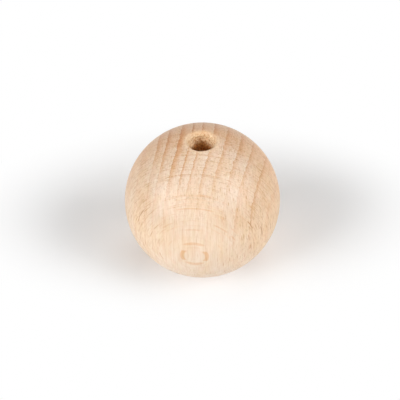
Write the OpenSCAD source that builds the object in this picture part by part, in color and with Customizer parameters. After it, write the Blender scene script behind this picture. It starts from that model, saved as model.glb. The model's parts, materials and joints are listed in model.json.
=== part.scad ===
// Turned wooden ball with one bore drilled right through it, along the grain.
// The origin is the centre of the ball and the bore runs along Z.
// The ball stands on the rounded mouth at the lower end of its bore.

/* [Ball] */
// Diameter of the turned ball
ball_d = 50; // [30:1:80]

/* [Bore] */
// Diameter of the bore that runs through the centre of the ball
bore_d = 8; // [5:0.5:12]
// Radius of the worn, rounded edge at each mouth of the bore
mouth_round_r = 1.2; // [0.3:0.1:1.5]

/* [Hidden] */

$fn = 180;

ball_r = ball_d / 2;
bore_r = bore_d / 2;

// Cutting tools run this much beyond the surface that they cut
past = 1;

// The rounded edge is an arc that touches the wall of the bore and the skin of the ball,
// so its centre lies one rounding radius inside each of the two.
round_centre_x = bore_r + mouth_round_r;
round_centre_z = sqrt((ball_r - mouth_round_r) ^ 2 - round_centre_x ^ 2);

// Section of what is worn away at the upper mouth: the sharp corner between bore and skin,
// less the rounded edge that stays.
module worn_corner() {
    // The line from the centre of the ball through the centre of the arc, carried past the skin
    beyond_skin = [round_centre_x, round_centre_z] * (ball_r + past) / (ball_r - mouth_round_r);
    difference() {
        polygon([
            [bore_r - past, round_centre_z],
            [round_centre_x, round_centre_z],
            beyond_skin,
            [bore_r - past, ball_r + past]
        ]);
        translate([round_centre_x, round_centre_z])
            circle(r = mouth_round_r);
    }
}

// Ring-shaped cutter that rounds the edge of the upper mouth
module mouth_cutter() {
    rotate_extrude()
        worn_corner();
}

// The ball is one piece of beech, turned about the axis of its bore
module ball() {
    color("#ecd0ac")
        difference() {
            sphere(r = ball_r);
            cylinder(r = bore_r, h = 2 * (ball_r + past), center = true);
            mouth_cutter();
            mirror([0, 0, 1])
                mouth_cutter();
        }
}

ball();
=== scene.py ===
# %% [markdown]
# # A turned beech ball with a bore
#
# The object is one piece of beech. It was sawn as a block with the grain upright, turned to a ball,
# and bored right through along the grain with a wood drill. Its skin is bare, finely sanded wood, and
# the drill has left the wall of the bore rough.
#
# The lesson keeps the order of a workshop: first the shape, as a lathe and a drill leave it, and then
# the wood, which is coloured all the way through and isn't a picture laid on the skin. The floor, the
# lamps and the camera come last.

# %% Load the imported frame
import json
import math

import bmesh
import bpy
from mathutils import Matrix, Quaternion, Vector, noise

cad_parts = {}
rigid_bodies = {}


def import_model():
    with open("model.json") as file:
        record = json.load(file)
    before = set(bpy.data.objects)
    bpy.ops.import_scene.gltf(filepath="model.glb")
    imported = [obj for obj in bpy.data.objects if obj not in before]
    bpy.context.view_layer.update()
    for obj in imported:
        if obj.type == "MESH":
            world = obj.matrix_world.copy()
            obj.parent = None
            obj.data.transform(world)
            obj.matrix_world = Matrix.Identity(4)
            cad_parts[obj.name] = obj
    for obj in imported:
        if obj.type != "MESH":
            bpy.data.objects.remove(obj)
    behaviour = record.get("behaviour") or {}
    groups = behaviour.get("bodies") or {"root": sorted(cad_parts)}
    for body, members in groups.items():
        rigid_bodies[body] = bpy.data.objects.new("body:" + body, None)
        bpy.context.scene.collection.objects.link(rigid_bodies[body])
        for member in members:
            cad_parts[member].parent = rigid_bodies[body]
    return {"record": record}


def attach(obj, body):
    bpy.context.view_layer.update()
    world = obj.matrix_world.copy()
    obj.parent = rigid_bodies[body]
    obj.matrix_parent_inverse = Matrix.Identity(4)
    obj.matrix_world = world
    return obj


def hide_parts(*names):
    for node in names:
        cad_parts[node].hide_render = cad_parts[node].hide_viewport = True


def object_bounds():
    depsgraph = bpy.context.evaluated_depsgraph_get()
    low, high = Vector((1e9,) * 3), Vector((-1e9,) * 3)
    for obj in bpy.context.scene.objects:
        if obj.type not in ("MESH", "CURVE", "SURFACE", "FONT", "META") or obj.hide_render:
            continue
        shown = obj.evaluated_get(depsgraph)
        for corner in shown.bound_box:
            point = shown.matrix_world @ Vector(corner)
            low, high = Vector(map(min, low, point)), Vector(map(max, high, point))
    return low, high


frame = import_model()
cad_low, cad_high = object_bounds()
print("CAD box from", tuple(cad_low), "to", tuple(cad_high))

# %% [markdown]
# ## The sizes that drive everything
#
# Blender works in metres and a ball like this is measured in millimetres, so `MM` turns one into the
# other. No size is typed in twice: the widest side of the CAD box is the diameter of the ball, and the
# record states the bore as a mount, with its radius and the length of its straight wall. The rounding
# of the two mouths follows from those three, because its arc touches both the wall and the skin.

# %% Sizes from the frame
MM = 0.001
ball_r = round((cad_high.x - cad_low.x) / 2 / MM, 1) * MM
bore = next(mount for mount in frame["record"]["mounts"] if mount["name"] == "bore")
bore_r = bore["dims"]["r_mm"] * MM
wall_top = bore["dims"]["length_mm"] * MM / 2
# The centre of the arc is mouth_r out from the wall, and mouth_r in from the skin.
mouth_r = (ball_r**2 - bore_r**2 - wall_top**2) / (2 * (ball_r + bore_r))
print(f"ball {2 * ball_r / MM:.1f} mm, bore {2 * bore_r / MM:.1f} mm, rounding {mouth_r / MM:.2f} mm")

# %% [markdown]
# ## Half of the section
#
# A lathe makes a body of revolution, and Blender's `spin` operator works the same way, so all that has
# to be drawn is half of the section: the skin, the rounding at each mouth and the wall of the bore.
# The arcs could be lists of points from sines and cosines. They are spins instead, each of a single
# vertex about the centre of its arc, so Blender places the points. Where two arcs meet they leave two
# vertices in one place, and `remove_doubles` welds those into one closed chain.

# %% Draw the half section
SKIN_STEPS = 96
ROUNDING_STEPS = 12
WALL_STEPS = 240
WELD = 1e-7

round_centre = Vector((bore_r + mouth_r, 0, wall_top))
# how far from the axis the rounding meets the skin, as an angle at the centre of the ball
mouth_angle = math.atan2(round_centre.x, round_centre.z)


def arc(section, start, centre, angle, steps):
    """Draws an arc in the plane of the section: one vertex, spun about the centre."""
    tip = section.verts.new(start)
    bmesh.ops.spin(section, geom=[tip], cent=centre, axis=(0, 1, 0), angle=angle, steps=steps)


turned = bmesh.new()
arc(turned, round_centre.normalized() * ball_r, (0, 0, 0), math.pi - 2 * mouth_angle, SKIN_STEPS)
for side in (1, -1):
    wall_end = Vector((bore_r, 0, side * wall_top))
    centre = Vector((round_centre.x, 0, side * wall_top))
    arc(turned, wall_end, centre, side * (math.pi / 2 + mouth_angle), ROUNDING_STEPS)
ends = [turned.verts.new((bore_r, 0, side * wall_top)) for side in (1, -1)]
wall = turned.edges.new(ends)
bmesh.ops.subdivide_edges(turned, edges=[wall], cuts=WALL_STEPS - 1)
bmesh.ops.remove_doubles(turned, verts=turned.verts, dist=WELD)
print("half section:", len(turned.verts), "points in one closed chain")

# %% [markdown]
# ## Once round the lathe
#
# The chain is spun a full turn about the axis of the bore. A full spin needs `use_merge`, or its last
# step stays as a second, loose copy of the first. A spin can also leave a body inside out, so its
# normals are recalculated once the doubles are gone. An open edge would be a hole in the skin, and the
# count that is printed should be 0.

# %% Spin the section
TURN_STEPS = 192

bmesh.ops.spin(
    turned,
    geom=turned.verts[:] + turned.edges[:],
    cent=(0, 0, 0),
    axis=(0, 0, 1),
    angle=2 * math.pi,
    steps=TURN_STEPS,
    use_merge=True,
)
bmesh.ops.remove_doubles(turned, verts=turned.verts, dist=WELD)
bmesh.ops.recalc_face_normals(turned, faces=turned.faces)
open_edges = sum(not edge.is_manifold for edge in turned.edges)
print("turned body:", len(turned.faces), "faces,", open_edges, "open edges")

# %% [markdown]
# ## A rough bore
#
# The skin was sanded and the bore wasn't. A wood drill tears fibres out of the wall as it goes, and at
# the mouth it lifts small crumbs out of the rounded edge. A Displace modifier could do this with a
# texture, but it would need a vertex group to keep it off the skin. A short loop is plainer: every
# vertex of the wall moves straight out from the axis, into the wood, by a noise that is long along the
# grain. The pits fade out over the rounding, so the sanded skin stays true.

# %% Tear the wall of the bore
PIT_DEPTH = 0.34 * MM
PIT_ACROSS = 0.50 * MM
PIT_ALONG = 0.95 * MM
USUAL_PIT = 0.35
PIT_VARIETY = 0.75
# how fast the finer lumps fade, how much finer each layer of them is, and how many layers there are
LUMP_LAYERS = (0.7, 2.0, 3)


def torn_depth(at):
    """How deep the drill has torn the wood at this place of the bore's wall."""
    lumps = noise.fractal((at.x / PIT_ACROSS, at.y / PIT_ACROSS, at.z / PIT_ALONG), *LUMP_LAYERS)
    return PIT_DEPTH * min(max(USUAL_PIT + PIT_VARIETY * lumps, 0), 1)


moved = 0
for vertex in turned.verts:
    out = math.hypot(vertex.co.x, vertex.co.y)
    # 0 at the wall, and 1 just short of the skin
    past_wall = (out - bore_r) / mouth_r
    if past_wall < 1:
        grow = 1 + torn_depth(vertex.co) * (1 - max(past_wall, 0)) / out
        vertex.co.x *= grow
        vertex.co.y *= grow
        moved += 1
print("vertices in the bore and its mouths:", moved)

# %% [markdown]
# ## The finished piece
#
# The bmesh becomes an object that stays at the origin, because its place is in its mesh. Smooth
# shading lets the facets read as one round skin. The piece rides on the only body there is and stands
# in for the plain CAD ball.

# %% Make the ball
def finished_piece(name, shape):
    """Turns a finished bmesh into an object that sits at the origin."""
    for face in shape.faces:
        face.smooth = True
    data = bpy.data.meshes.new(name)
    shape.to_mesh(data)
    shape.free()
    piece = bpy.data.objects.new(name, data)
    bpy.context.scene.collection.objects.link(piece)
    return piece


ball = finished_piece("beech_ball", turned)
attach(ball, "root")
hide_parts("ball")
print("ball:", len(ball.data.vertices), "vertices")

# %% [markdown]
# ## Shader maths in plain Python
#
# A material is a graph of nodes, and a formula with ten terms is ten nodes and their links. The class
# below wraps one socket of that graph. Python's own operators on it add the Math nodes that do the sum,
# so a formula is read as a formula. The reflected operators, such as `__rsub__`, let a plain number
# stand on the left, as in `1 - mask`. Every other kind of node comes from the one method `node`, and
# `output` gives another socket of the same node, so a node with three outputs is made only once.

# %% A socket that can be reckoned with
def lay_stops(ramp, interpolation, places):
    """Gives a ramp its stops: places from 0 to 1, each with a colour."""
    ramp.interpolation = interpolation
    # a new ramp has two stops, and the first of them is used
    ramp.elements.remove(ramp.elements[-1])
    for count, (place, colour) in enumerate(places):
        stop = ramp.elements.new(place) if count else ramp.elements[0]
        stop.position = place
        stop.color = (*colour, 1)


class Wire:
    """One output socket of a material. A sum of wires adds the nodes that work it out."""

    def __init__(self, tree, socket=None):
        self.tree = tree
        self.socket = socket

    def node(self, kind, settings, inputs, output=0):
        """Adds a node: its settings first, then a value or a wire for each socket that it lists."""
        made = self.tree.nodes.new(kind)
        for name, value in settings.items():
            if name == "stops":
                lay_stops(made.color_ramp, *value)
            else:
                setattr(made, name, value)
        for name, value in inputs.items():
            if isinstance(value, Wire):
                self.tree.links.new(value.socket, made.inputs[name])
            else:
                made.inputs[name].default_value = value
        return Wire(self.tree, made.outputs[output])

    def output(self, name):
        """Another output of the node that this wire comes from."""
        return Wire(self.tree, self.socket.node.outputs[name])

    def maths(self, operation, *values):
        """Adds a Math node that works on these values."""
        return self.node("ShaderNodeMath", {"operation": operation}, dict(enumerate(values)))

    def __add__(self, other):
        return self.maths("ADD", self, other)

    def __radd__(self, other):
        return self.maths("ADD", other, self)

    def __sub__(self, other):
        return self.maths("SUBTRACT", self, other)

    def __rsub__(self, other):
        return self.maths("SUBTRACT", other, self)

    def __mul__(self, other):
        return self.maths("MULTIPLY", self, other)

    def __rmul__(self, other):
        return self.maths("MULTIPLY", other, self)

    def __truediv__(self, other):
        return self.maths("DIVIDE", self, other)

    def __abs__(self):
        return self.maths("ABSOLUTE", self)


print("wires are ready: + - * / and abs() each add a Math node")

# %% [markdown]
# ## Where a point lies in the tree
#
# Wood is a solid, so its pattern is a function of place: `Object` coordinates give the point of the
# skin in the object's own axes, and the same formulas then hold on the skin, in the bore and on the
# far side. Three directions matter in a log. The grain runs up the trunk, which is Z here. The pith
# lay on the +X side, so a growth ring is a curved wall that is met by walking along X. The rays run
# out from the pith like spokes, so they are thin sheets that lie across Y.

# %% Start the material
beech = bpy.data.materials.new("beech")
beech.use_nodes = True
wood = Wire(beech.node_tree)
place = wood.node("ShaderNodeTexCoord", {}, {}, output="Object")
place = wood.node("ShaderNodeVectorMath", {"operation": "SCALE"}, {0: place, "Scale": 1 / MM})
# the first output of this node is X
x = wood.node("ShaderNodeSeparateXYZ", {}, {0: place})
y = x.output("Y")
z = x.output("Z")
radius = ball_r / MM
print("nodes for the place in the tree:", len(beech.node_tree.nodes))

# %% [markdown]
# ## Soft edges and noise
#
# Besides the Math nodes, two kinds do most of the work. A Map Range node turns a distance into a mask
# with a soft edge. A ramp could too, but its stops have to lie between 0 and 1, and here the ends of
# the edge are plain millimetres. A Noise node gives lumps. Wood has few round ones, so `stretched`
# first counts the place in lumps of their own width, depth and height, which draws the noise out along
# the grain.

# %% Helpers for masks and noise
def smooth_step(value, low, high):
    """0 before low, 1 after high and a soft S between them; low may be the larger of the two."""
    inputs = {"Value": value, "From Min": low, "From Max": high}
    return value.node("ShaderNodeMapRange", {"interpolation_type": "SMOOTHSTEP"}, inputs)


def greater(one, other):
    """The greater of two masks."""
    return one.maths("MAXIMUM", one, other)


def stretched(lump, shift):
    """The place in the tree, counted in lumps of this width, depth and height in mm."""
    wide, deep, tall = lump
    at = {"X": x / wide + shift, "Y": y / deep, "Z": z / tall}
    return wood.node("ShaderNodeCombineXYZ", {}, at)


def cloud(lump, detail, roughness=0.5, shift=0.0):
    """Soft noise from -1 to 1, in lumps of this size. A shift keeps two clouds from matching."""
    at = stretched(lump, shift)
    inputs = {"Vector": at, "Scale": 1.0, "Detail": detail, "Roughness": roughness}
    return 2 * wood.node("ShaderNodeTexNoise", {}, inputs) - 1


print("helpers:", ", ".join(helper.__name__ for helper in (smooth_step, greater, stretched, cloud)))

# %% [markdown]
# ## The faces of the ball
#
# One block of wood shows three kinds of face. Round the mouths of the bore the skin cuts the fibres
# across, which is end grain: porous, and with the rings plain to see. On the two sides it lies along
# the rings, and in front and behind it lies along the rays. A ball passes slowly from one to the next,
# so each face is a mask with a wide, soft edge. The two ends of a block are never quite alike: here the
# grain is more open at the upper end, so a few masks grow towards that end alone. All of them are
# worked out from the place in the tree, as the wood is, so they hold from every side.

# %% Masks for the faces
# these start and end at shares of the radius
top_face = smooth_step(abs(z) / radius, 0.45, 0.97)
end_grain = smooth_step(abs(z) / radius, 0.65, 1.0)
side_face = smooth_step(abs(x) / radius, 0.35, 0.8)
back_face = smooth_step(y / radius, -0.3, 0.25)
# and these at places in mm
high_up = smooth_step(z, -4, 16)
upper_cap = smooth_step(z, 8, 20)
upper_end = smooth_step(z, 15.5, 22)
pith_side = smooth_step(x, 6, 13)
bark_side = smooth_step(x, -3, -9)

# the grain is fully open at the upper end, a little less towards the pith and about half at the sides
open_grain = greater(greater(side_face * 0.45, upper_cap), smooth_step(x, 3, 13) * 0.8)
print("masks for the faces:", len(beech.node_tree.nodes), "nodes so far")

# %% [markdown]
# ## Rays
#
# Beech is known by its rays: flat ribbons, a few tenths of a millimetre thick and a few millimetres
# tall, that run from the pith to the bark. Where the skin cuts them end-on, at the sides, they are short
# dark dashes. Where it grazes them, in front and behind, they are broad flakes, and round the mouths
# of the bore they are hairlines. Drawing each look by itself would take three patterns that have to
# meet. A solid field gives all three: Voronoi cells in the plane that the rays pierce, stretched along
# the grain. In `marks`, the distance of a place from the middle of its cell gives the ray its outline,
# and the random colour of the cell decides whether it holds one. There are two such fields, for broad
# rays and for fine ones. A noise moves the fine ones up and down along their length, so that each
# breaks off after a few millimetres.

# %% The field of rays
# how much a sheet turns from X, leans from Z and curves
RAY_SLANT = 0.10
RAY_LEAN = 0.036
RAY_CURVE = 0.0025
# how far it waves, and how far a noise moves a fine ray up and down, in mm
RAY_WAVE = 0.25
RAY_BREAK = 2.8
# how far a ray reaches from the middle of its cell, in cells, and for what share of that it is full
RAY_FILL = 0.36
RAY_CORE = 0.55
# a cell holds no mark from this far above the share, and a full one from this far below it
NO_MARK = 0.15
FULL_MARK = 0.20


def ray_sheet(at_x, at_y, at_z):
    """The number of the sheet that a place lies in. Rays follow sheets of one number."""
    return at_y + RAY_SLANT * at_x + RAY_LEAN * at_z - RAY_CURVE * at_x * at_x


def marks(dimensions, at, scale, fill, core, share):
    """1 inside a mark, in Voronoi cells of two or three dimensions; share of the cells hold one."""
    cells = {"Vector": at, "Scale": scale}
    gap = wood.node("ShaderNodeTexVoronoi", {"voronoi_dimensions": dimensions}, cells, output="Distance")
    lot = wood.node("ShaderNodeSeparateColor", {}, {"Color": gap.output("Color")})
    return smooth_step(gap, fill, fill * core) * smooth_step(lot, share + NO_MARK, share - FULL_MARK)


def ray_field(thick, tall, share, shift, level):
    """1 inside a ray, for rays of this thickness and height in mm; share of the cells hold one."""
    # a ray is 2 * RAY_FILL cells across and as many tall, and has to come out at its size in mm
    through_sheets = wavy_sheet * (2 * RAY_FILL / thick) + shift
    up_the_trunk = level * (2 * RAY_FILL / tall)
    at = wood.node("ShaderNodeCombineXYZ", {}, {"X": through_sheets, "Y": up_the_trunk})
    return marks("2D", at, 1.0, RAY_FILL, RAY_CORE, share)


sheet = ray_sheet(x, y, z)
wavy_sheet = sheet + cloud((8, 8, 8), detail=1) * RAY_WAVE
broken_z = z + cloud((1.5, 40, 12), detail=1) * RAY_BREAK
broad_rays = ray_field(0.22, 3.6, 0.30, 0.0, z)
fine_rays = ray_field(0.30, 1.7, 0.58, 31.7, broken_z)
print("ray fields:", len(beech.node_tree.nodes), "nodes so far")

# %% [markdown]
# ## The rays that stand out
#
# A few rays of this ball are so broad that the eye finds them at once: a ring like a letter O low in
# front, where the skin just grazes one sheet, and some arcs and long dashes above and beside it. They
# are listed one by one. Each is given by the place where it comes out of the front of the ball, and the
# number of its sheet follows from that.

# %% Great rays
# x and z of the place, how far it reaches each way along x and z, half its thickness, its strength
GREAT_RAYS = [
    (-6.7, -0.8, 9.0, 2.1, 0.085, 1.0),
    (-2.6, -4.5, 3.2, 0.9, 0.085, 0.8),
    (-3.1, 4.3, 3.4, 0.8, 0.10, 0.75),
    (-3.1, 2.9, 2.6, 0.6, 0.05, 0.2),
    (-3.0, 8.9, 2.2, 0.9, 0.09, 0.5),
    (-2.6, 10.2, 2.2, 0.8, 0.07, 0.25),
    (-3.0, -10.0, 2.5, 0.8, 0.07, 0.3),
    (-2.5, 14.7, 6.0, 0.9, 0.13, 0.65),
    (-2.0, 17.6, 4.3, 0.7, 0.12, 0.4),
    (0.8, 17.7, 1.8, 0.9, 0.16, 0.5),
    (-19.0, 7.7, 3.0, 1.6, 0.15, 0.8),
    (-13.2, -4.2, 2.0, 1.4, 0.08, 0.7),
    (-11.0, 8.6, 2.5, 1.2, 0.10, 0.4),
    (5.3, 12.2, 2.0, 0.8, 0.14, 0.3),
    (5.6, 8.7, 2.2, 1.6, 0.10, 0.6),
    (9.2, 4.7, 2.5, 0.9, 0.11, 0.6),
    (14.5, 6.8, 2.5, 1.5, 0.12, 1.0),
    (14.1, 2.6, 2.0, 1.2, 0.09, 0.8),
    (14.5, -1.5, 2.0, 0.9, 0.12, 1.0),
    (18.2, 2.2, 2.0, 1.8, 0.13, 1.0),
]
print("great rays:", len(GREAT_RAYS), "placed by hand")

# %% [markdown]
# ## From the list to the wood
#
# A great ray is three ranges multiplied together: close enough to its sheet, within its length and
# within its height. A fourth mask keeps it to the front half of the ball, or the same sheet would come
# out again behind. Where two of them meet the stronger one shows, so the ranges of all the rays are
# joined by `greater` and not by a sum.

# %% Draw the great rays
# how soft the faces of a ray are, as a share of half its thickness, and how soft its ends are, in mm
SHEET_SOFT = 0.4
LENGTH_SOFT = 0.8
HEIGHT_SOFT = 0.3


def within(away, reach, soft):
    """1 where a distance is within reach, with an edge that is this soft on either side of it."""
    return smooth_step(away, reach + soft, reach - soft)


def great_ray(at_x, at_z, reach_x, reach_z, half, strength):
    """One broad ray, given by the place where it comes out of the front of the ball."""
    at_y = -math.sqrt(radius**2 - at_x**2 - at_z**2)
    in_sheet = within(abs(sheet - ray_sheet(at_x, at_y, at_z)), half, half * SHEET_SOFT)
    in_length = within(abs(x - at_x), reach_x, LENGTH_SOFT)
    in_height = within(abs(z - at_z), reach_z, HEIGHT_SOFT)
    return in_sheet * in_length * in_height * front_half * strength


front_half = smooth_step(y, 2, -2)
great_rays = great_ray(*GREAT_RAYS[0])
for facts in GREAT_RAYS[1:]:
    great_rays = greater(great_rays, great_ray(*facts))
print("great rays:", len(beech.node_tree.nodes), "nodes so far")

# %% [markdown]
# ## Growth rings
#
# Each year the tree lays a soft, pale wood in spring and a denser, browner one in late summer, and the
# step from the old year's brown to the new year's pale is sharp. A Wave texture would make every year
# alike. Here the years are a list, from the bark inwards, so each has its own width and its own band
# of late wood.

# %% Years of growth
# width in mm, how dark its late wood is, how wide that band is in mm
YEARS = [
    (4.2, 0.5, 1.0),
    (4.4, 0.5, 1.2),
    (4.9, 0.55, 1.4),
    (2.9, 0.8, 1.2),
    (4.0, 0.85, 1.1),
    (3.6, 1.0, 1.6),
    (2.95, 1.0, 0.6),
    (3.8, 0.9, 0.7),
    (3.9, 0.8, 1.1),
    (4.3, 0.65, 1.1),
    (3.65, 0.6, 1.2),
    (4.4, 0.75, 1.1),
    (4.05, 1.0, 0.5),
    (4.2, 0.5, 0.8),
    (4.0, 0.5, 0.8),
]
widths = [width for width, dark, band in YEARS]
print(f"growth rings: {len(YEARS)} years over {sum(widths):.1f} mm")

# %% [markdown]
# ## Which year a point lies in
#
# The rings are walls round a trunk that grew a little crooked. So the distance across them isn't plain
# X: it bends with Y, sways and jags with two noises, and steps aside a little at the broad rays. A ramp
# then counts the years along that distance. The whole part of the count is the year, and the rest is
# how far through the year the point lies.

# %% Count the years
# the outer edge of the first year, along X
BARK_SIDE = -30.8
# how far the rings bend, at which y they turn, over how many mm, and how much more towards the pith
BEND = 4.93
BEND_Y = -12.85
BEND_OVER = 16.1
FAN = 0.0048
# how far they sway and jag, and how far they step aside at a broad ray, in mm
SWAY = 0.45
JAG = 0.62
STEP_AT_RAYS = 0.45

bend = wood.maths("TANH", (y - BEND_Y) / BEND_OVER) * BEND
across = x - bend * (FAN * x + 1)
across += cloud((11, 11, 33), detail=1) * SWAY
across += cloud((1.3, 1.3, 4), detail=3, roughness=0.65) * JAG
across += broad_rays * STEP_AT_RAYS

years_wide = sum(widths)
edges = [sum(widths[:count]) for count in range(len(YEARS) + 1)]
count_stops = [(edge / years_wide, (count / len(YEARS),) * 3) for count, edge in enumerate(edges)]
inward = (across - BARK_SIDE) / years_wide
count_ramp = wood.node("ShaderNodeValToRGB", {"stops": ("LINEAR", count_stops)}, {"Fac": inward})
years_in = wood.node("ShaderNodeSeparateColor", {}, {"Color": count_ramp}) * len(YEARS)
year = wood.maths("FLOOR", years_in)
through_year = years_in - year
print("count of the years:", len(beech.node_tree.nodes), "nodes so far")

# %% [markdown]
# ## Late wood
#
# A second ramp looks up the facts of a year. It can only hold numbers from 0 to 1, so the widths go in
# as shares of a widest year. The years are counted inwards, so each starts with its late wood: a band
# that is darkest at its sharp outer edge and fades softly, with a hairline along the edge itself. From
# there `summer_wood` pales slowly into the spring wood.
#
# The rings show most on end grain, where the dense wood drinks the light, and behind the upper mouth
# most of all. Away from there they show less, and more on the side of the pith than on the side of the
# bark. `line_show` adds to the hairlines of the darkest years towards the pith, which look as if they
# were drawn with a pen.

# %% Bands of late wood
WIDEST = 5.0
# the hairline has faded to about a third after this many mm
EDGE_FADE = 0.25
# the band is full up to the first share of its width, and gone at the second
BAND_FULL = 0.1
BAND_GONE = 1.7

facts_stops = [
    (count / len(YEARS), (width / WIDEST, dark, band / WIDEST))
    for count, (width, dark, band) in enumerate(YEARS)
]
this_year = {"Fac": (year + 0.5) / len(YEARS)}
facts_ramp = wood.node("ShaderNodeValToRGB", {"stops": ("CONSTANT", facts_stops)}, this_year)
# red holds the width, green how dark the late wood is and blue the band
width = wood.node("ShaderNodeSeparateColor", {}, {"Color": facts_ramp})
dark = width.output("Green")
band = width.output("Blue")
into_year = through_year * width
late_wood = dark * smooth_step(into_year / band, BAND_GONE, BAND_FULL)
edge_line = dark * wood.maths("EXPONENT", into_year * (-WIDEST / EDGE_FADE))
summer_wood = 1 - through_year * through_year * through_year

# a ring shows a little everywhere, and this much more where each of these masks is 1
ring_show = 0.05 + 0.66 * end_grain + 0.14 * high_up
ring_show += 0.22 * high_up * pith_side + 0.10 * upper_cap * bark_side
ring_show += 0.25 * upper_end * back_face
line_show = 0.5 * smooth_step(dark, 0.8, 1.0) * pith_side * smooth_step(z, 2, 11)
print("late wood:", len(beech.node_tree.nodes), "nodes so far")

# %% [markdown]
# ## Fibres
#
# Between the rings and the rays the wood is a bundle of fibres along Z. In front they are hairline
# streaks, and on end grain the same fibres are only specks. One noise that is far longer along Z than
# across gives both, because the skin cuts it in both directions. A second, shorter noise is the
# roughness that sanding leaves where the grain is open. Two soft ones are the slow drift of tone that
# any board has, and the flush of pink and yellow that beech gets when it is steamed.

# %% Fibres and drifts of tone
fibres = cloud((0.36, 1.6, 8), detail=3, roughness=0.6)
specks = cloud((0.45, 0.45, 1.5), detail=2, roughness=0.7, shift=17)
drift = cloud((4, 4, 14), detail=2, shift=5)
flush = cloud((1.3, 2.0, 4.5), detail=3, roughness=0.65, shift=9)
print("fibres:", len(beech.node_tree.nodes), "nodes so far")

# %% [markdown]
# ## Pores
#
# Noise has no edges, and pores do: they are cut open as crisp dashes, some browner than the wood and
# some paler. They are drawn as the rays were, with `marks`, but in cells that are solid, so a pore ends
# along the grain too.

# %% Pores
PORE_FILL = 0.38
PORE_CORE = 0.5


def pore_field(dash, share, shift):
    """1 inside a dash of this width, depth and height in mm; share of the cells hold one."""
    return marks("3D", stretched(dash, shift), 2 * PORE_FILL, PORE_FILL, PORE_CORE, share)


dark_pores = pore_field((0.30, 1.2, 3.0), 0.30, 3.3)
pale_pores = pore_field((0.32, 1.6, 5.0), 0.45, 8.1)
print("pores:", len(beech.node_tree.nodes), "nodes so far")

# %% [markdown]
# ## Colour
#
# The colour starts as the palest spring wood, and each feature is laid over it as a tint that is
# multiplied in where its mask says so, as thin glazes are. A tint is easy to judge: it says how much of
# the red, the green and the blue is left. Colours go through Mix nodes, because a Math node would turn
# them grey.

# %% Tint by rings and rays
SPRING_WOOD = (0.98, 0.82, 0.678, 1)
# A Mix node has sockets for numbers and for vectors too. These are the ones it uses for colours.
FACTOR, UNDER, OVER, MIXED = 0, 6, 7, 2


def blended(kind, mask, under, over):
    """Two colours in a Mix node of this kind, the second as strong as the mask says."""
    settings = {"data_type": "RGBA", "blend_type": kind}
    return wood.node("ShaderNodeMix", settings, {FACTOR: mask, UNDER: under, OVER: over}, output=MIXED)


def tinted(colour, tint, mask):
    """The colour, multiplied by the tint where the mask is 1."""
    return blended("MULTIPLY", mask, colour, (*tint, 1))


def glazed(colour, glazes):
    """The colour under several tints, each given with its name and its mask."""
    for name, tint, mask in glazes:
        colour = tinted(colour, tint, mask)
        print(f"{name}: leaves {tint[0]:.3f} red, {tint[1]:.3f} green, {tint[2]:.3f} blue")
    return colour


# how much of the flakes, the ends and the hairlines of the rays each face shows
flake_show = 0.3 + 0.3 * high_up + 0.4 * smooth_step(y / radius, 0, 0.5)
ends_show = greater(side_face, bark_side * upper_cap * 0.6)
hairline_show = 0.12 + 0.88 * greater(side_face * 0.6, upper_end)
ring_glazes = [
    ("late wood", (0.88, 0.67, 0.48), late_wood * ring_show),
    ("edge of a year", (0.84, 0.70, 0.57), edge_line * (ring_show + line_show)),
    ("summer wood", (0.97, 0.90, 0.83), summer_wood * (0.15 + 0.85 * ring_show)),
    ("flakes of broad rays", (0.985, 0.90, 0.79), broad_rays * (1 - side_face) * flake_show),
    ("ends of broad rays", (0.79, 0.65, 0.49), broad_rays * ends_show),
    ("fine rays", (0.86, 0.75, 0.63), fine_rays * hairline_show),
    ("great rays", (0.92, 0.76, 0.59), great_rays),
    ("ends of great rays", (0.74, 0.69, 0.70), great_rays * side_face),
]
colour = glazed(SPRING_WOOD, ring_glazes)

# %% [markdown]
# ## The tone of each face
#
# The fibres and pores come next, and then the tone of whole faces. End grain is greyer, and that grey
# is partly painted shade on the two caps. A band above the middle is darkened with painted shade,
# where the lamps light the front brightest. The wood is warmer towards the pith, as a board is that was
# cut from near the heart of the tree, and painted shade makes it darker and warmer at the two sides and
# behind, where less light falls.

# %% Tint by fibres and faces
speck_show = 0.10 + 0.85 * open_grain
face_glazes = [
    ("fibres", (0.915, 0.865, 0.80), smooth_step(fibres, -0.3, 0.4)),
    ("brown pores", (0.91, 0.85, 0.78), dark_pores),
    ("pores towards the pith", (0.88, 0.76, 0.63), dark_pores * smooth_step(x, 2, 8) * (1 - side_face)),
    ("wood between pale pores", (0.96, 0.935, 0.90), 1 - pale_pores),
    ("specks of open grain", (0.80, 0.74, 0.67), smooth_step(specks, 0.05, 0.4) * speck_show),
    ("drift of tone", (0.99, 0.945, 0.87), smooth_step(drift, -0.3, 0.4)),
    ("pink flush", (1.0, 0.965, 0.96), smooth_step(flush, 0.0, 0.35)),
    ("yellow flush", (0.985, 0.985, 0.935), smooth_step(flush, 0.0, -0.35)),
    # partly the grey of end grain, partly painted shade on the two caps
    ("end grain grey and painted shade", (0.92, 0.92, 0.945), top_face),
    # painted shade: darkens a band above the middle, where the lamps light the front brightest
    ("painted shade band", (0.94, 0.925, 0.92), smooth_step(abs(z - 13), 9, 2)),
    ("warmth towards the pith", (1.0, 0.95, 0.88), smooth_step(across, 9, 17)),
    # painted shade: darker and warmer towards the left and right edges
    ("painted shade at the sides", (0.995, 0.96, 0.905), smooth_step(abs(x) / radius, 0.5, 0.95)),
    # painted shade: darker and browner behind, where less light falls
    ("painted shade behind", (0.99, 0.85, 0.70), back_face),
]
colour = glazed(colour, face_glazes)

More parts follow.
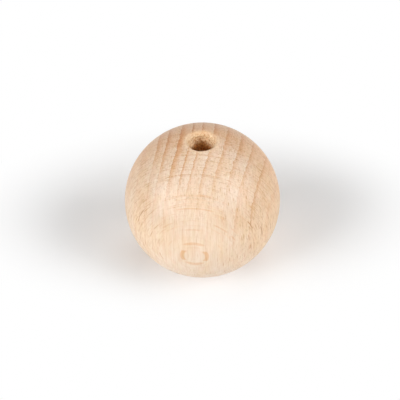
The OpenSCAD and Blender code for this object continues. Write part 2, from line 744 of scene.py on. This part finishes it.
# %% [markdown]
# ## The bore and its mouths
#
# Round each mouth the wood has been rubbed bright and yellow, and its pits are half filled. Inside,
# the wall is torn: pale crumbs stand next to dark pits. Further down, the brown is painted shade, the
# shade that fills a deep bore. The wall is a little duller on the +Y side, and the painted shade begins
# nearer the mouth there than at its two sides, where the side lamps reach further in. The crumbs also
# go into the mask `rubbed` and break up its edge, so it isn't a neat circle.

# %% Tint the bore
CRUMB = (1.0, 0.77, 0.51, 1)
PIT = (0.64, 0.41, 0.245)
DULL = (0.90, 0.84, 0.76)
# painted shade: the dark brown deep in the bore, where little light reaches
DEEP_SHADE = (0.61, 0.385, 0.175)
# how deep in the bore the painted shade begins and is full, in mm, and how steeply that leans round the
# wall
DEEP_SHADE_FROM = 2.6
DEEP_SHADE_TO = 4.9
DEEP_SHADE_LEAN = 0.4
# the wood is rough this far out from the bore's own radius, and that fades over this much more, in mm
BORE_SKIN = 0.2
BORE_FADE = 0.3
# where the rubbed wood is full and where it ends, in mm from the axis, and how far crumbs move its edge
RUBBED_FROM = 4.8
RUBBED_TO = 6.2
RUBBED_JAG = 1.6

depth = wall_top / MM - abs(z)
from_axis = wood.maths("SQRT", x * x + y * y)
inner_skin = bore_r / MM + BORE_SKIN
in_bore = smooth_step(from_axis, inner_skin + BORE_FADE, inner_skin)
crumbs = cloud((0.55, 0.55, 0.7), detail=3, roughness=0.75, shift=43)
pits_show = 0.45 + 0.45 * in_bore
torn = tinted(CRUMB, PIT, smooth_step(crumbs, -0.03, 0.2) * pits_show)
torn = tinted(torn, DULL, smooth_step(y, 2.5, 4.5))
leaning_depth = depth + (y - abs(x)) * DEEP_SHADE_LEAN
# painted shade that deepens down the bore and starts higher on the +Y wall than at the sides
torn = tinted(torn, DEEP_SHADE, smooth_step(leaning_depth, DEEP_SHADE_FROM, DEEP_SHADE_TO))
rubbed = smooth_step(from_axis + crumbs * RUBBED_JAG, RUBBED_TO, RUBBED_FROM)
colour = blended("MIX", rubbed * 0.5 + in_bore * 0.5, colour, torn)
print("bore:", len(beech.node_tree.nodes), "nodes so far")

# %% [markdown]
# ## Sheen and raised grain
#
# Sanded beech has a dull sheen. The dense late wood takes a little more polish than the rest, the
# polish changes from one streak of fibres to the next, and the bore has hardly any. Raised grain is
# far too fine to model, so a Bump node tips the normals by the height of the fibres, specks, rays and
# crumbs, in hundredths of a millimetre.

# %% Finish the material
GRAIN_HEIGHT = 0.026 * MM
# a roughness of 0 is a mirror, and 1 is chalk
SATIN = 0.40

height = fibres * 0.4 - specks * (0.3 + 0.7 * open_grain)
height += crumbs * in_bore * 2 - fine_rays * upper_end * 0.3
bump = {"Strength": 1.0, "Distance": GRAIN_HEIGHT, "Height": height}
finish = {
    "Base Color": colour,
    "Roughness": SATIN + fibres * 0.06 - late_wood * 0.04 + in_bore * 0.3,
    "Normal": wood.node("ShaderNodeBump", {}, bump),
}
surface = beech.node_tree.nodes["Principled BSDF"]
for socket, wire in finish.items():
    beech.node_tree.links.new(wire.socket, surface.inputs[socket])
ball.data.materials.append(beech)
print("beech:", len(beech.node_tree.nodes), "nodes")

# %% [markdown]
# ## The floor
#
# The ball stands on white paper, at the height where its own box ends. The sheet is a grid of one
# face, wide enough to fill the view from any side.

# %% Lay the floor
# in metres
FLOOR_SIDE = 4.0

plate = bmesh.new()
bmesh.ops.create_grid(plate, x_segments=1, y_segments=1, size=FLOOR_SIDE / 2)
bmesh.ops.translate(plate, verts=plate.verts, vec=(0, 0, cad_low.z))
floor = finished_piece("floor", plate)
print(f"floor at {cad_low.z / MM:.2f} mm")

# %% [markdown]
# ## White paper
#
# Lamps that light wood well leave white paper grey. More light would make the paper white and burn
# out the wood, so the paper's white comes from its material instead. Near the ball it is lit paper
# that keeps the shadow, with a little light of its own. Further out, in an oval round the ball, a Mix
# Shader turns it into plain white. Both count only for rays that look at the paper, which the Light
# Path node tells from those that light the ball, so neither of them lights the ball from below.

# %% Paper
PAPER = (0.895, 0.895, 0.895, 1)
PAPER_ROUGHNESS = 0.9
# how strong the paper's own light is, and how far from the foot of the ball it begins and is full
OWN_LIGHT = 0.10
OWN_LIGHT_FROM = (4 * MM, 12 * MM)
# the middle of the oval, how its axes are scaled, and where in it the white begins and is full
WHITE_CENTRE = (0, 22 * MM, 0)
WHITE_OVAL = (1, 1.7, 0)
WHITE_FROM = (38 * MM, 88 * MM)

paper = bpy.data.materials.new("paper")
paper.use_nodes = True
page = Wire(paper.node_tree)


def looking(graph):
    """1 for a ray that looks: from the camera, off a gloss or through glass. 0 for one that lights."""
    direct = graph.node("ShaderNodeLightPath", {}, {}, output="Is Camera Ray")
    return direct + direct.output("Is Glossy Ray") + direct.output("Is Transmission Ray")


def distance_from(centre, scale):
    """How far a place of the floor is from the centre, with each axis scaled first."""
    at = page.node("ShaderNodeTexCoord", {}, {}, output="Object")
    at = page.node("ShaderNodeVectorMath", {"operation": "SUBTRACT"}, {0: at, 1: centre})
    at = page.node("ShaderNodeVectorMath", {"operation": "MULTIPLY"}, {0: at, 1: scale})
    return page.node("ShaderNodeVectorMath", {"operation": "LENGTH"}, {0: at}, output="Value")


looks = looking(page)
# the paper's own light is left out at the foot of the ball, which paints a shade under it
own_light = looks * OWN_LIGHT * smooth_step(distance_from((0, 0, 0), (1, 1, 0)), *OWN_LIGHT_FROM)
far_out = looks * smooth_step(distance_from(WHITE_CENTRE, WHITE_OVAL), *WHITE_FROM)
print("paper:", len(paper.node_tree.nodes), "nodes so far")

# %% [markdown]
# ## Two papers in one material
#
# The lit paper is the Principled shader without any gloss. Its own light goes in as the Emission
# Color, because a colour may change from place to place, and the strength stays at 1. The white is an
# Emission shader, also of strength 1, and the Mix Shader passes from the one to the other.

# %% Finish the paper
lit = paper.node_tree.nodes["Principled BSDF"]
lit.inputs["Base Color"].default_value = PAPER
lit.inputs["Roughness"].default_value = PAPER_ROUGHNESS
lit.inputs["Specular IOR Level"].default_value = 0.0
lit.inputs["Emission Strength"].default_value = 1.0
grey = {"Red": own_light, "Green": own_light, "Blue": own_light}
grey = page.node("ShaderNodeCombineColor", {}, grey)
paper.node_tree.links.new(grey.socket, lit.inputs["Emission Color"])
white = page.node("ShaderNodeEmission", {}, {"Color": (1, 1, 1, 1), "Strength": 1.0})
lit_paper = Wire(paper.node_tree, lit.outputs["BSDF"])
mixed = page.node("ShaderNodeMixShader", {}, {0: far_out, 1: lit_paper, 2: white})
output = paper.node_tree.nodes["Material Output"]
paper.node_tree.links.new(mixed.socket, output.inputs["Surface"])
floor.data.materials.append(paper)
print("paper:", len(paper.node_tree.nodes), "nodes")

# %% [markdown]
# ## Soft light
#
# Wood looks its best in soft light from two sides, which shapes the ball without a hard shadow. Four
# square area lamps stand round it, all the same size and equally far away. The two at the sides do
# most of the work, the one in front fills the middle and the one behind lifts the top edge. A lamp
# shines along its own -Z, so its +Z is turned away from the ball.

# %% Lamps
SOFTBOX_SIDE = 0.9
SOFTBOX_AWAY = 1.5
# name, degrees round from the front, degrees up, watts
SOFTBOXES = [
    ("left_softbox", -60, 28, 15.2),
    ("right_softbox", 70, 34, 13.2),
    ("front_softbox", 0, 27, 5.2),
    ("back_softbox", 160, 60, 5.8),
]


def softbox(name, round_from_front, up, power):
    """A square lamp that faces the ball."""
    lamp = bpy.data.lights.new(name, "AREA")
    lamp.shape = "SQUARE"
    lamp.size = SOFTBOX_SIDE
    lamp.energy = power
    turn = math.radians(round_from_front)
    rise = math.radians(up)
    ahead = Vector((math.sin(turn), -math.cos(turn), 0))
    outwards = ahead * math.cos(rise) + Vector((0, 0, math.sin(rise)))
    holder = bpy.data.objects.new(name, lamp)
    holder.location = outwards * SOFTBOX_AWAY
    holder.rotation_euler = outwards.to_track_quat("Z", "Y").to_euler()
    bpy.context.scene.collection.objects.link(holder)


for facts in SOFTBOXES:
    softbox(*facts)
print("lamps:", len(SOFTBOXES), "softboxes,", sum(facts[-1] for facts in SOFTBOXES), "watts in all")

# %% [markdown]
# ## The room
#
# Beyond the paper the world is white. It would be a fifth lamp if every ray saw it, so its strength is
# the same sum of Light Path outputs: 1, which is white, for a ray that looks, and 0 for any other.

# %% White world
room = bpy.data.worlds.new("studio")
room.use_nodes = True
backdrop = room.node_tree.nodes["Background"]
backdrop.inputs["Color"].default_value = (1, 1, 1, 1)
room.node_tree.links.new(looking(Wire(room.node_tree)).socket, backdrop.inputs["Strength"])
bpy.context.scene.world = room
print("world:", room.name)

# %% [markdown]
# ## The camera
#
# The camera looks down on the ball from the front, so the mouth of the bore is a flat oval near the
# top. It stands seven diameters away with a long lens, because a near camera would swell the front of
# the ball. It leans by one degree and stands a little to the left, as a camera on a tripod does. The
# Standard view shows colours as they are written.

# %% Camera
CAMERA_AWAY = 14 * ball_r
CAMERA_UP = math.radians(42.2)
CAMERA_LEAN = math.radians(1.0)
CAMERA_ASIDE = 0.78 * MM
LENS = 97.5

view = bpy.data.cameras.new("camera")
view.lens = LENS
camera = bpy.data.objects.new("camera", view)
towards = Vector((0, -math.cos(CAMERA_UP), math.sin(CAMERA_UP)))
lean = Quaternion(towards, -CAMERA_LEAN)
camera.location = towards * CAMERA_AWAY - Vector((CAMERA_ASIDE, 0, 0))
camera.rotation_euler = (lean @ towards.to_track_quat("Z", "Y")).to_euler()
bpy.context.scene.collection.objects.link(camera)
bpy.context.scene.camera = camera
bpy.context.scene.view_settings.view_transform = "Standard"
print("camera at", [round(part / MM, 1) for part in camera.location], "mm")
